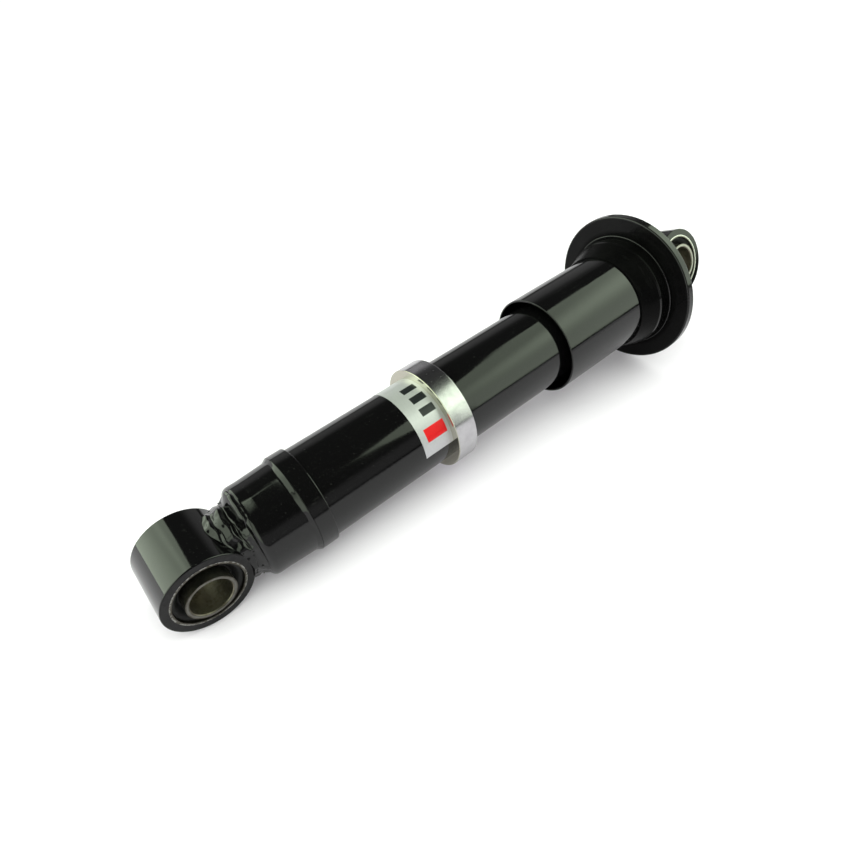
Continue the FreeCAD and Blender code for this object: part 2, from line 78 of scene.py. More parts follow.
def facing(place, aim, up):
    """A turn that points local -Z from place to aim, with local Y near up."""
    back = (place - aim).normalized()
    right = up.cross(back).normalized()
    return Matrix((right, back.cross(right), back)).transposed()


camera = bpy.data.objects.new("studio_camera", bpy.data.cameras.new("studio_camera"))
bpy.context.scene.collection.objects.link(camera)
camera.matrix_world = (Matrix.Translation(CAMERA_PLACE)
                       @ facing(CAMERA_PLACE, CAMERA_AIM, PICTURE_UP).to_4x4())
camera.data.angle = FIELD_OF_VIEW
camera.data.clip_start = 10 * MM
bpy.context.scene.camera = camera
bpy.context.scene.view_settings.view_transform = "Standard"
print("lens:", round(camera.data.lens, 2), "mm")

# %% [markdown]
# ## Node maths
# Patterns are sums and products of numbers that vary over a surface. A small
# class wraps a node socket, so that such a formula reads as ordinary
# arithmetic and each operator adds the Math node it stands for.

# %% One class for shader maths
class Field:
    """A number that varies over a surface: one output socket of a node."""

    def __init__(self, tree, socket):
        self.tree = tree
        self.socket = socket

    def math(self, operation, *others):
        return Field(self.tree, add_node(self.tree, "ShaderNodeMath", {"operation": operation},
                                         dict(enumerate((self, *others)))).outputs[0])

    def __add__(self, other):
        return self.math("ADD", other)

    def __sub__(self, other):
        return self.math("SUBTRACT", other)

    def __rsub__(self, other):
        return (self * -1) + other

    def __mul__(self, other):
        return self.math("MULTIPLY", other)

    def __truediv__(self, other):
        return self.math("DIVIDE", other)

    __radd__ = __add__
    __rmul__ = __mul__

    def clamped(self):
        return self.math("MAXIMUM", 0.0).math("MINIMUM", 1.0)

    def step(self, low, high):
        """0 below low, 1 above high, and smooth between; low may be the larger."""
        share = ((self - low) / (high - low)).clamped()
        return share * share * (3 - 2 * share)

    def between(self, low, high, soft):
        """1 from low to high, with edges that are soft wide."""
        return self.step(low - soft, low + soft) * (1 - self.step(high - soft, high + soft))


def add_node(tree, kind, settings=None, sockets=None):
    """Add a node: its settings first, then each socket's value or link."""
    node = tree.nodes.new(kind)
    for name, value in (settings or {}).items():
        setattr(node, name, value)
    for name, value in (sockets or {}).items():
        if isinstance(value, Field):
            value = value.socket
        if isinstance(value, bpy.types.NodeSocket):
            tree.links.new(value, node.inputs[name])
        else:
            node.inputs[name].default_value = value
    return node


# %% [markdown]
# ## Floor
# The damper lies on its side and rests on two places: the lower eye and the
# rim of the spring seat's flange, which is wider. So the floor isn't level
# with the damper's axis, but leans a few degrees, and its slope is worked out
# from those two radii.

# %% Floor under the eye and the flange
eye_low, eye_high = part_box("lower_eye")
seat_low, seat_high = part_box("spring_seat")
eye_radius = (eye_high.x - eye_low.x) / 2
flange_radius = (seat_high.z - seat_low.z) / 2
slope = math.asin((flange_radius - eye_radius) / seat_high.x)
floor_up = Vector((math.sin(slope), 0, math.cos(slope)))
floor_turn = floor_up.to_track_quat("Z", "Y").to_matrix().to_4x4()
print("floor slope:", round(math.degrees(slope), 2), "degrees")

FLOOR_SIZE = 30.0
FLOOR_GAP = 0.2 * MM
floor_mesh = bmesh.new()
bmesh.ops.create_grid(floor_mesh, x_segments=1, y_segments=1, size=FLOOR_SIZE)
bmesh.ops.transform(floor_mesh, verts=floor_mesh.verts,
                    matrix=Matrix.Translation(-floor_up * (eye_radius + FLOOR_GAP)) @ floor_turn)
floor_data = bpy.data.meshes.new("studio_floor")
floor_mesh.to_mesh(floor_data)
floor_mesh.free()
floor = bpy.data.objects.new("studio_floor", floor_data)
bpy.context.scene.collection.objects.link(floor)

# %% [markdown]
# The floor is a sheet of white paper, overexposed to a clean white. A plain
# diffuse surface would turn grey far from the lamps, so there it gives way to
# a surface that glows, and a little of that glow lies under the damper too.
# The paper is slightly pink, which cancels the green of the lamps' cloth, as
# a camera's white balance does. Seen in the paint it is dimmer, so that the
# underside keeps its black.

# %% White paper that stays bright far from the lamps
PAPER_WHITE = (0.88, 0.77, 0.96)
PAPER_GLOW = 1.05
LIT_THROUGH = 0.12
SEEN_IN_PAINT = 0.65
NEAR, FAR = 0.7, 1.6


def new_material(name):
    """A material with an empty node tree, and its output node."""
    material = bpy.data.materials.new(name)
    material.use_nodes = True
    material.node_tree.nodes.clear()
    return material, material.node_tree, material.node_tree.nodes.new("ShaderNodeOutputMaterial")


paper, tree, output = new_material("white_paper")
place = add_node(tree, "ShaderNodeTexCoord").outputs["Object"]
reach = Field(tree, add_node(tree, "ShaderNodeVectorMath", {"operation": "LENGTH"},
                             {0: place}).outputs["Value"])
mirrored = Field(tree, add_node(tree, "ShaderNodeLightPath").outputs["Is Glossy Ray"])
strength = 1 - mirrored * (1 - SEEN_IN_PAINT)
white = add_node(tree, "ShaderNodeVectorMath", {"operation": "SCALE"},
                 {0: PAPER_WHITE, "Scale": strength}).outputs[0]
lit = add_node(tree, "ShaderNodeBsdfDiffuse", None, {"Color": white})
glow = add_node(tree, "ShaderNodeEmission", None,
                {"Color": (1, 1, 1, 1), "Strength": strength * PAPER_GLOW})
sheet = add_node(tree, "ShaderNodeMixShader", None,
                 {0: reach.step(NEAR, FAR) * (1 - LIT_THROUGH) + LIT_THROUGH,
                  1: lit.outputs[0], 2: glow.outputs[0]})
tree.links.new(sheet.outputs[0], output.inputs["Surface"])
floor.data.materials.append(paper)
print("the paper glows beyond", FAR, "m and by", LIT_THROUGH, "under the damper")

# %% [markdown]
# ## Lights
# Black gloss paint has no shading of its own. What the eye reads as its shape
# is the picture of the studio in it: three tall soft boxes round the damper,
# a low pale backdrop, and a dark room above. Each box is an upright panel,
# brighter in places, and has the faint green of its diffuser cloth. An area
# lamp can show such a pattern, since its material knows where on the panel a
# ray leaves.

# %% Lamps, and patterns of brightness on them
LAMP_DISTANCE = 2.2
SUBJECT = Vector((0.17, 0, 0))
CLOTH_TINT = (0.86, 1.0, 0.78)


def axes(tree, vector):
    """The three parts of a vector as fields."""
    split = add_node(tree, "ShaderNodeSeparateXYZ", None, {0: vector})
    return [Field(tree, out) for out in split.outputs]


def hump(field, middle, half_width):
    """1 at the middle, 0 from half_width away, and smooth between."""
    return (field - middle).math("ABSOLUTE").step(half_width, 0)


def hang_lamp(name, place, turn, width, height, radiance):
    """An area lamp of that size and brightness, which the camera doesn't see."""
    lamp = bpy.data.lights.new(name, "AREA")
    lamp.shape = "RECTANGLE"
    lamp.size, lamp.size_y = width, height
    lamp.energy = radiance * math.pi * width * height
    lamp.color = CLOTH_TINT
    hung = bpy.data.objects.new(name, lamp)
    hung.matrix_world = Matrix.Translation(place) @ turn.to_4x4()
    hung.visible_camera = False
    bpy.context.scene.collection.objects.link(hung)
    print(name, "is", round(width, 2), "by", round(height, 2), "m")
    return hung


def patterned(hung, pattern):
    """Make a lamp's brightness vary across it and up it, both from 0 to 1."""
    hung.data.use_nodes = True
    tree = hung.data.node_tree
    across, up, _ = axes(tree, add_node(tree, "ShaderNodeNewGeometry").outputs["Parametric"])
    cloth = next(n for n in tree.nodes if n.type == "EMISSION")
    tree.links.new(pattern(across, up).socket, cloth.inputs["Strength"])


# %% Three soft boxes
def soft_box(name, azimuth, half_angle, top_angle, radiance, glow, foot_angle=0.0):
    """An upright panel between two heights, as the subject sees it (degrees)."""
    heading = math.radians(azimuth)
    outward = Vector((math.sin(heading), math.cos(heading), 0))
    width = 2 * LAMP_DISTANCE * math.tan(math.radians(half_angle))
    foot = LAMP_DISTANCE * math.tan(math.radians(foot_angle))
    height = LAMP_DISTANCE * math.tan(math.radians(top_angle)) - foot
    middle = SUBJECT + outward * LAMP_DISTANCE + Vector((0, 0, foot + height / 2))
    upright = facing(middle, middle - outward, Vector((0, 0, 1)))
    patterned(hang_lamp(name, middle, upright, width, height, radiance), glow)


soft_box("right_soft_box", azimuth=113, half_angle=39, top_angle=61, radiance=2.0,
         glow=lambda across, up: 0.85 + hump(up, 0.46, 0.26) * hump(across, 0.5, 0.6) * 0.75)
soft_box("left_soft_box", azimuth=-51, half_angle=51, top_angle=60, radiance=2.2, foot_angle=3,
         glow=lambda across, up: 0.9 + (hump(across, 0.28, 0.12) + hump(across, 0.46, 0.14)) * 0.3)
soft_box("side_soft_box", azimuth=-121, half_angle=16, top_angle=52, radiance=1.7, foot_angle=3,
         glow=lambda across, up: 0.7 + hump(across, 0.5, 0.5) * 0.3)

# %% [markdown]
# A small window high above gives the glint on the foot. It is cut like a
# wedge: broad at one end and drawn out to a thin slit at the other. Most of
# the light on the paper comes from a wide ceiling bounce, which is too even
# to show as a shape in the paint, so reflections leave it out.

# %% Wedge window and ceiling bounce
LOOKING_DOWN = Matrix.Identity(3)
WINDOW_PLACE = Vector((0.165, 0.35, 1.6))
BOUNCE_HEIGHT, BOUNCE_WIDTH = 2.4, 3.0
OVERHEAD_RADIANCE = 3.2


def wedge_and_slit(across, up):
    """1 inside the window's outline, and dimmer in the slit at its end."""
    narrowing = across.step(0.56, 0.86)
    middle = 0.48 + narrowing * 0.32
    half_width = (1 - narrowing) * 0.42 + 0.03
    outline = ((up - middle).math("ABSOLUTE") - half_width).step(0.02, -0.02)
    slit = hump(up, 0.8, 0.05) * across.step(0.5, 0.44) * 0.5
    return outline * across.step(0.6, 0.66) + slit


patterned(hang_lamp("wedge_window", WINDOW_PLACE, LOOKING_DOWN, 0.22, 1.4, OVERHEAD_RADIANCE),
          wedge_and_slit)
bounce = hang_lamp("ceiling_bounce", SUBJECT + Vector((0, 0, BOUNCE_HEIGHT)), LOOKING_DOWN,
                   BOUNCE_WIDTH, BOUNCE_WIDTH, OVERHEAD_RADIANCE)
bounce.visible_glossy = False

# %% [markdown]
# The rest of the room is a world shader that knows only directions. Low down
# it is a pale backdrop, which fades upwards into the dark, and just above the
# floor it leaves a thin dark line. The camera itself sees plain white.

# %% The room: a low pale backdrop that fades into the dark
ROOM_DARK, BACKDROP = 0.035, 0.28
BACKDROP_TOP, DARK_ABOVE = 0.32, 0.56
FLOOR_LINE, BACKDROP_FOOT = 0.03, 0.055
world = bpy.data.worlds.new("studio_room")
world.use_nodes = True
bpy.context.scene.world = world
tree = world.node_tree
tree.nodes.clear()
direction = add_node(tree, "ShaderNodeTexCoord").outputs["Generated"]
height = Field(tree, add_node(tree, "ShaderNodeSeparateXYZ", None, {0: direction}).outputs["Z"])
seen_directly = Field(tree, add_node(tree, "ShaderNodeLightPath").outputs["Is Camera Ray"])
backdrop = height.step(DARK_ABOVE, BACKDROP_TOP) * height.step(FLOOR_LINE, BACKDROP_FOOT)
room_light = backdrop * (BACKDROP - ROOM_DARK) + ROOM_DARK
room = add_node(tree, "ShaderNodeBackground", None,
                {"Color": (1, 1, 1, 1),
                 "Strength": room_light * (1 - seen_directly) + seen_directly})
tree.links.new(room.outputs[0], tree.nodes.new("ShaderNodeOutputWorld").inputs["Surface"])
print("the backdrop is", BACKDROP / ROOM_DARK, "times as bright as the room above it")

# %% [markdown]
# ## Finishes
# Every finish starts from the piece's own place in space, in metres, which
# Object coordinates give. A noise of the right size then stands for each
# thing that happened to the surface: sprayed paint settles in a soft orange
# peel, dust falls on it, and handling leaves faint scuffs.

# %% Patterns that all finishes share
def surface(tree):
    """A point's place on the object, in metres."""
    return add_node(tree, "ShaderNodeTexCoord").outputs["Object"]


def stretched(tree, vector, scale, turn=(0, 0, 0), shift=(0, 0, 0)):
    """Coordinates after a Mapping node."""
    return add_node(tree, "ShaderNodeMapping", None, {
        "Vector": vector, "Location": shift, "Rotation": turn, "Scale": scale}).outputs[0]


def grain(tree, vector, size, detail=2.0, roughness=0.5):
    """Noise from 0 to 1 whose lumps are about size metres across."""
    return Field(tree, add_node(tree, "ShaderNodeTexNoise", None, {
        "Vector": vector, "Scale": 1 / size, "Detail": detail,
        "Roughness": roughness}).outputs[0])


def tint(tree, share, first, second):
    """A colour that goes from first to second as share goes from 0 to 1."""
    mix = add_node(tree, "ShaderNodeMix", {"data_type": "RGBA"}, {0: share})
    for socket, colour in ((6, first), (7, second)):
        if isinstance(colour, bpy.types.NodeSocket):
            tree.links.new(colour, mix.inputs[socket])
        else:
            mix.inputs[socket].default_value = (*colour, 1)
    return mix.outputs[2]


def bumped(tree, height, depth):
    """A normal from a height field; depth is its real height in metres."""
    return add_node(tree, "ShaderNodeBump", None, {
        "Strength": 1.0, "Distance": depth, "Height": height}).outputs[0]


finishes = {}


def finish(name, build, **constants):
    """A Principled material: build gives what varies, constants what doesn't."""
    material, tree, output = new_material(name)
    shader = add_node(tree, "ShaderNodeBsdfPrincipled", None,
                      {**constants, **build(tree, surface(tree))})
    tree.links.new(shader.outputs[0], output.inputs["Surface"])
    finishes[name] = material
    print("finish:", name)


# %% [markdown]
# ### Gloss black paint
# A thick, dipped or sprayed enamel. It mirrors the room, a little wavily,
# because the film settles unevenly. Dust gives fine pale specks, and a few
# long faint scuffs run along the damper from handling.

# %% Gloss black paint
def gloss_paint(tree, place):
    waves = grain(tree, place, 9 * MM, 1.0)
    peel = grain(tree, place, 1.4 * MM, 1.0)
    dust = grain(tree, place, 0.5 * MM, 0.0).step(0.8, 0.86) * grain(tree, place, 14 * MM)
    scuffs = grain(tree, stretched(tree, place, (0.12, 1, 1)), 1.1 * MM, 2.0).step(0.64, 0.78)
    handled = grain(tree, place, 30 * MM, 3.0).step(0.35, 0.75)
    return {
        "Base Color": tint(tree, dust * 0.55 + scuffs * handled * 0.12,
                           (0.0022, 0.002, 0.0024), (0.1, 0.1, 0.1)),
        "Roughness": 0.07 + handled * 0.05 + scuffs * handled * 0.16 + dust * 0.3,
        "Normal": bumped(tree, waves * 0.7 + peel * 0.12, 0.04 * MM),
    }


finish("gloss_black_paint", gloss_paint, **{"IOR": 1.5})

# %% [markdown]
# The lower eye has the same paint, but its two end faces were rubbed in
# handling and packing. There the shiny top of the film has gone: a clear coat
# stands for the shine, and it is thin on the faces.

# %% Lower eye paint with rubbed end faces
def eye_paint(tree, place):
    looks = gloss_paint(tree, place)
    y = axes(tree, place)[1].math("ABSOLUTE")
    face = y.step(eye_high.y - 0.25 * MM, eye_high.y - 0.1 * MM)
    rubbed = grain(tree, place, 3 * MM, 4.0, 0.6).step(0.25, 0.8)
    looks["Coat Weight"] = 1 - face * (0.95 - rubbed * 0.25)
    return looks


finish("eye_black_paint", eye_paint,
       **{"IOR": 1.5, "Specular IOR Level": 0.2, "Coat IOR": 1.42, "Coat Roughness": 0.08})

# %% [markdown]
# ### Satin black paint
# The spring seat is a pressing with a thinner, duller paint. Its highlights
# spread out, and it is worn a little paler in patches. Round the rim and on
# the edges of both steps it was rubbed as glossy as on the tube, and on the
# flange's face a little: a clear coat whose weight follows the radius does
# that without a second material.

# %% Satin black paint
FLANGE_FACE = (38 * MM, 41 * MM)
FLANGE_RIM = (47.6 * MM, 48.4 * MM)
STEP_EDGES = ((35.55 * MM, 35.98 * MM), (37.05 * MM, 37.48 * MM))


def satin_paint(tree, place):
    _, y, z = axes(tree, place)
    out = (y * y + z * z).math("SQRT")
    patches = grain(tree, place, 16 * MM, 4.0, 0.6)
    fine = grain(tree, place, 0.6 * MM, 2.0)
    rubbed = grain(tree, stretched(tree, place, (1, 0.3, 0.3)), 5 * MM, 3.0).step(0.6, 0.8)
    glossy = out.step(*FLANGE_FACE) * 0.22 + out.step(*FLANGE_RIM) * 0.78
    for inner, outer in STEP_EDGES:
        glossy = glossy + out.between(inner, outer, 0.04 * MM)
    return {
        "Base Color": tint(tree, patches.step(0.3, 0.8) * 0.5 + rubbed * 0.3,
                           (0.0015, 0.0014, 0.0016), (0.005, 0.0048, 0.0052)),
        "Roughness": 0.2 + patches * 0.1 + rubbed * 0.1,
        "Coat Weight": glossy.clamped(),
        "Normal": bumped(tree, fine * 0.4 + patches * 2, 0.02 * MM),
    }


finish("satin_black_paint", satin_paint,
       **{"IOR": 1.5, "Specular IOR Level": 0.05, "Coat Roughness": 0.08, "Coat IOR": 1.45})

# %% [markdown]
# ### Bright zinc
# The locating ring is turned on a lathe and then plated. The tool leaves fine
# grooves round it, and zinc keeps small cloudy spots. Noise stretched round
# the axis draws the grooves, and the plating has yellowed on the side face.

# %% Bright zinc
ring_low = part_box("locating_ring")[0]


def bright_zinc(tree, place):
    turned = grain(tree, stretched(tree, place, (1, 0.03, 0.03)), 0.25 * MM, 2.0)
    clouds = grain(tree, place, 6 * MM, 4.0, 0.6)
    spots = grain(tree, place, 1.1 * MM, 2.0).step(0.68, 0.76)
    x = axes(tree, place)[0]
    side = x.step(ring_low.x + 0.5 * MM, ring_low.x + 0.2 * MM)
    plated = tint(tree, clouds.step(0.3, 0.8), (0.64, 0.63, 0.65), (0.54, 0.53, 0.55))
    return {
        "Base Color": tint(tree, side * 0.6, plated, (0.62, 0.6, 0.42)),
        "Roughness": 0.13 + clouds * 0.08 + turned * 0.03 + spots * 0.12,
        "Normal": bumped(tree, turned, 0.003 * MM),
    }


finish("bright_zinc", bright_zinc, Metallic=1.0)

# %% [markdown]
# ### Bush steel and rubber
# The sleeves of the bushes are cut from tube and left bare, so they have
# turning marks, brown storage stains and brighter rims. The upper bush's
# steel is given brighter colours than the lower's: partly a cleaner tone,
# partly a painted highlight. The rubber between them is moulded on and matte.

# %% Bush steel, worked out round each bush's own axis
upper_joint = next(j for j in frame["joints"] if j["name"] == "upper_bush_twist")
upper_centre = Vector(upper_joint["pos_m"])
upper_axis = Vector(upper_joint["axis"]).normalized()
upper_turn = math.atan2(upper_axis.z, upper_axis.y)
print("the upper bush is turned by", round(math.degrees(upper_turn), 1), "degrees")


def round_bush(tree, place, centre, turn):
    """Distance from a bush's axis, and place along it, as fields."""
    moved = stretched(tree, place, (1, 1, 1), shift=-centre)
    x, along, z = axes(tree, stretched(tree, moved, (1, 1, 1), turn=(-turn, 0, 0)))
    return (x * x + z * z).math("SQRT"), along


def bush_steel(centre, turn, tone_and_painted_highlight, stained):
    """Bare steel: the third number scales its colours, a cleaner tone plus a painted highlight, and stained gives
    its storage stains.
    """
    def build(tree, place):
        radius, along = round_bush(tree, place, centre, turn)
        marks = grain(tree, stretched(tree, place, (1, 0.15, 1)), 0.5 * MM, 3.0)
        stain = grain(tree, place, 4 * MM, 5.0, 0.65).step(0.35, 0.7) * stained
        nicks = 1 - grain(tree, place, 1.2 * MM, 2.0).step(0.6, 0.4) * stained
        scraped = radius.between(17.35 * MM, 18.2 * MM, 0.1 * MM) * nicks
        worn_rim = radius.between(10.6 * MM, 11.5 * MM, 0.15 * MM)
        bore = radius.step(10.45 * MM, 10.25 * MM)
        bright = (scraped + worn_rim * 0.3).clamped() * (1 - bore)
        dull = tint(tree, stain, (0.12 * tone_and_painted_highlight, 0.115 * tone_and_painted_highlight, 0.1 * tone_and_painted_highlight),
                    (0.07 * tone_and_painted_highlight, 0.06 * tone_and_painted_highlight, 0.046 * tone_and_painted_highlight))
        dull = tint(tree, bore, dull, tint(tree, stain, (0.26, 0.24, 0.19), (0.14, 0.12, 0.085)))
        return {
            "Base Color": tint(tree, bright, dull, (0.32 * tone_and_painted_highlight, 0.32 * tone_and_painted_highlight, 0.3 * tone_and_painted_highlight)),
            "Roughness": 0.38 + stain * 0.2 - bright * 0.12,
            "Normal": bumped(tree, marks, 0.02 * MM),
        }
    return build


def bush_rubber(tree, place):
    bloom = grain(tree, place, 7 * MM, 4.0, 0.6)
    skin = grain(tree, place, 0.35 * MM, 3.0)
    return {
        "Base Color": tint(tree, bloom, (0.003, 0.003, 0.003), (0.012, 0.012, 0.0115)),
        "Roughness": 0.55 + bloom * 0.25,
        "Normal": bumped(tree, skin, 0.03 * MM),
    }


ORIGIN = Vector((0, 0, 0))
finish("lower_bush_steel", bush_steel(ORIGIN, 0.0, 1.0, 1.0), Metallic=1.0)
# The upper bush's colours are 2.6 times the lower's: cleaner steel, plus a painted highlight where the soft boxes
# light its rims.
finish("upper_bush_steel", bush_steel(upper_centre, upper_turn, 2.6, 0.3), Metallic=1.0)
finish("bush_rubber", bush_rubber, **{"IOR": 1.45})

# %% [markdown]
# ### Inner metals and plastics
# The pieces inside the tube share a few recipes that differ in colour, in how
# rough they are, and in the direction of their tool marks.

# %% One recipe for machined metals, one for plain solids
def machined(light, dark, rough, mark_size, along=(1, 0.05, 0.05)):
    def build(tree, place):
        marks = grain(tree, stretched(tree, place, along), mark_size, 2.0)
        cloud = grain(tree, place, 8 * MM, 4.0, 0.6)
        return {
            "Base Color": tint(tree, cloud.step(0.35, 0.75), light, dark),
            "Roughness": rough + cloud * 0.12 + marks * 0.06,
            "Normal": bumped(tree, marks, 0.01 * MM),
        }
    return build


def moulded(light, dark, rough, skin_size):
    def build(tree, place):
        skin = grain(tree, place, skin_size, 3.0)
        cloud = grain(tree, place, 9 * MM, 3.0)
        return {
            "Base Color": tint(tree, cloud, light, dark),
            "Roughness": rough + cloud * 0.15,
            "Normal": bumped(tree, skin, 0.03 * MM),
        }
    return build


finish("drawn_steel", machined((0.5, 0.5, 0.49), (0.36, 0.36, 0.36), 0.25, 0.3 * MM,
                               (0.05, 1, 1)), Metallic=1.0)
finish("spring_steel", machined((0.24, 0.27, 0.33), (0.33, 0.27, 0.24), 0.28, 0.4 * MM),
       Metallic=1.0)
finish("sintered_iron", machined((0.2, 0.2, 0.2), (0.12, 0.12, 0.12), 0.5, 0.15 * MM,
                                 (1, 1, 1)), Metallic=0.9)
finish("hard_chrome", machined((0.6, 0.61, 0.63), (0.55, 0.56, 0.58), 0.05, 0.2 * MM),
       Metallic=1.0)
finish("bearing_bronze", machined((0.5, 0.33, 0.17), (0.38, 0.24, 0.12), 0.35, 0.3 * MM),
       Metallic=1.0)
finish("filled_ptfe", moulded((0.06, 0.13, 0.09), (0.08, 0.17, 0.11), 0.45, 0.4 * MM))
finish("oil_rubber", moulded((0.01, 0.01, 0.012), (0.022, 0.022, 0.024), 0.45, 0.4 * MM))
finish("cushion_plastic", moulded((0.42, 0.36, 0.2), (0.5, 0.44, 0.26), 0.5, 0.8 * MM))

# %% [markdown]
# ### Label
# A silver foil sticker wrapped part-way round the tube. Its print is a plain
# pattern of this lesson's own: three dark bars across it and one red
# rectangle. The pattern is laid out by station along the tube and by angle
# round it, so it follows the curve.

# %% Label foil with plain bars
label_low, label_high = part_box("label")


def label_foil(tree, place):
    x, y, z = axes(tree, place)
    angle = (y * -1).math("ARCTAN2", z) * (180 / math.pi)
    share = (x - label_low.x) / (label_high.x - label_low.x)
    red = share.between(0.2, 0.9, 0.01) * angle.between(50, 67, 0.3)
    bars = share.between(0.42, 0.9, 0.01) * (
        angle.between(27, 37, 0.3) + angle.between(9, 19, 0.3) + angle.between(-9, 1, 0.3))
    bare = 1 - (bars + red).clamped()
    foil = grain(tree, stretched(tree, place, (1, 0.2, 0.2)), 0.4 * MM, 3.0)
    creased = grain(tree, stretched(tree, place, (0.4, 1, 1)), 7 * MM, 2.0)
    silver = tint(tree, foil, (0.5, 0.49, 0.53), (0.62, 0.605, 0.64))
    barred = tint(tree, bars, silver, (0.012, 0.013, 0.015))
    return {
        "Base Color": tint(tree, red, barred, (0.62, 0.008, 0.01)),
        "Metallic": 0.62 * bare,
        "Roughness": 0.16 + foil * 0.08 + bare * 0.14,
        "Normal": bumped(tree, foil * 0.1 + creased, 0.05 * MM),
    }


finish("silver_label", label_foil, IOR=1.45)

# %% [markdown]
# ## Hand out the finishes
# The record says which slot each CAD node takes its finish from, so the nodes
# are painted in one loop. Each bush has a steel of its own, because its marks
# run round its own axis and the upper one's colours carry a painted highlight,
# and the lower eye has the rubbed paint.

# %% Paint the CAD nodes
def give(piece, material):
    """Make material the only one on a piece."""
    piece.data.materials.clear()
    piece.data.materials.append(material)


slot_of = {row["node"]: row["material_slot"] for row in frame["record"]["subparts"]}
for name, piece in nodes.items():
    wanted = slot_of[name]
    if wanted == "bush_steel":
        wanted = name.split("_")[0] + "_bush_steel"
    if name == "lower_eye":
        wanted = "eye_black_paint"
    give(piece, finishes[wanted])
print(len(slot_of), "nodes painted, of", len(nodes))

# %% [markdown]
# ## Pieces built anew
# A spun outline is the quickest way to a round piece: draw a few points of
# its section beside the axis, and spin them round it. The spin's seam is
# closed by merging, and its faces are then made to look outwards.

# %% Spin a section, and put a finished piece in its place
def spun(section, axis, steps):
    """A closed ring from a closed section of (along, radius) points in metres."""
    mesh = bmesh.new()
    side = Vector((0, 0, 1))
    corners = [mesh.verts.new(axis * along + side * radius) for along, radius in section]
    edges = [mesh.edges.new(pair) for pair in zip(corners[-1:] + corners[:-1], corners)]
    bmesh.ops.spin(mesh, geom=corners + edges, cent=(0, 0, 0), axis=axis, dvec=(0, 0, 0),
                   angle=math.tau, steps=steps, use_merge=True, use_duplicate=False)
    bmesh.ops.remove_doubles(mesh, verts=mesh.verts, dist=0.001 * MM)
    bmesh.ops.recalc_face_normals(mesh, faces=mesh.faces)
    return mesh


def placed(mesh, name, body, material, slot, *stands_for):
    """Turn a bmesh into a finished piece that rides on a body."""
    for face in mesh.faces:
        face.smooth = True
    data = bpy.data.meshes.new(name)
    mesh.to_mesh(data)
    mesh.free()
    piece = bpy.data.objects.new(name, data)
    bpy.context.scene.collection.objects.link(piece)
    give(piece, material)
    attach(piece, body)
    if stands_for:
        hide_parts(*stands_for)
    print(name, "has", len(data.polygons), "faces")
    return piece


# %% [markdown]
# ### Moulded rubber
# The rubber isn't a plain ring. It is bonded to both sleeves, and each end
# sinks into a rounded groove beside the inner sleeve, which lets the bush
# twist without tearing. The groove is what looks so black.

# %% Rubber with a groove at each end
BOND_INSIDE, BOND_OUTSIDE = 12.05 * MM, 16.79 * MM
# From the outer bond (0) to the inner one (1), and how deep the end is (mm).
GROOVE = ((0.0, 0.06), (0.12, 0.0), (0.3, 0.12), (0.5, 0.9), (0.68, 2.2), (0.84, 3.3),
          (0.95, 3.6), (1.0, 3.2))


def rubber(name, node, body, half_width, centre, turn):
    """A bush's rubber, that long to each side, with GROOVE in both its ends."""
    end = [(half_width - depth * MM, BOND_OUTSIDE + (BOND_INSIDE - BOND_OUTSIDE) * share)
           for share, depth in GROOVE]
    mesh = spun(end + [(-along, radius) for along, radius in reversed(end)],
                Vector((0, 1, 0)), 128)
    bmesh.ops.transform(mesh, verts=mesh.verts,
                        matrix=Matrix.Translation(centre) @ Matrix.Rotation(turn, 4, "X"))
    placed(mesh, name, body, finishes["bush_rubber"], "bush_rubber", node)


rubber_low, rubber_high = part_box("lower_bush_rubber")
UPPER_RUBBER_WIDTH = 25.5 * MM
rubber("lower_rubber_moulding", "lower_bush_rubber", "damper_tube",
       (rubber_high.y - rubber_low.y) / 2, ORIGIN, 0.0)
rubber("upper_rubber_moulding", "upper_bush_rubber", "rod", UPPER_RUBBER_WIDTH / 2,
       upper_centre, upper_turn)

# %% [markdown]
# ### Check valve springs
# A coned spring washer holds each check valve's plate on its seat, and it
# flattens as the plate lifts. So each is made again as a thin cone whose bore
# rests on the stop it leans on, and the share of its height that it keeps at
# its plate's full lift is worked out from the plate's joint.

# %% Springs as thin cones, and how much of their height each keeps at full lift
SPRING_THICKNESS = 0.3 * MM
SPARE_LIFT = 0.02 * MM


def check_spring(name, node, body, joint_name, inside, slot):
    """A cone whose outer edge is at the plate and whose bore, inside, is at the stop."""
    low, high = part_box(node)
    joint = next(j for j in frame["joints"] if j["name"] == joint_name)
    mesh = spun([(low.x, high.z), (low.x + SPRING_THICKNESS, high.z), (high.x, inside),
                 (high.x - SPRING_THICKNESS, inside)], Vector((1, 0, 0)), 96)
    piece = placed(mesh, name, body, finishes[slot], slot, node)
    left = 1 - (joint["range_m"][1] + SPARE_LIFT) / (high.x - low.x)
    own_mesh(piece)
    print(name, "keeps", round(left, 3), "of its height")


check_spring("foot_spring_cone", "foot_valve_spring", "damper_tube", "foot_valve_lift",
             3.6 * MM, slot_of["foot_valve_spring"])
check_spring("intake_spring_cone", "intake_spring", "rod", "intake_valve_lift",
             5.6 * MM, slot_of["intake_spring"])

# %% [markdown]
# ### The neck's weld
# The eye is welded to the neck and the neck to the tube by hand, in three
# passes that run into each other, and then painted over. It starts as a plain
# sleeve with a closely divided outside. Each pass is laid like a roof tile:
# it climbs slowly away from the eye and then drops into the next valley, and
# it swells and wanders as the hand moved. The last pass runs up over the
# tube's rounded end. The neck meets the round barrel of the eye, so the
# sleeve's near end follows the barrel.

# %% Three passes of weld over the neck
WELD_FAR_END = 31.0
WELD_INSIDE = 14.6
NECK_RADIUS = 17.9
NECK_FLARE = 0.09
FLARE_FROM = 12
BARREL_OVERLAP = 1.2
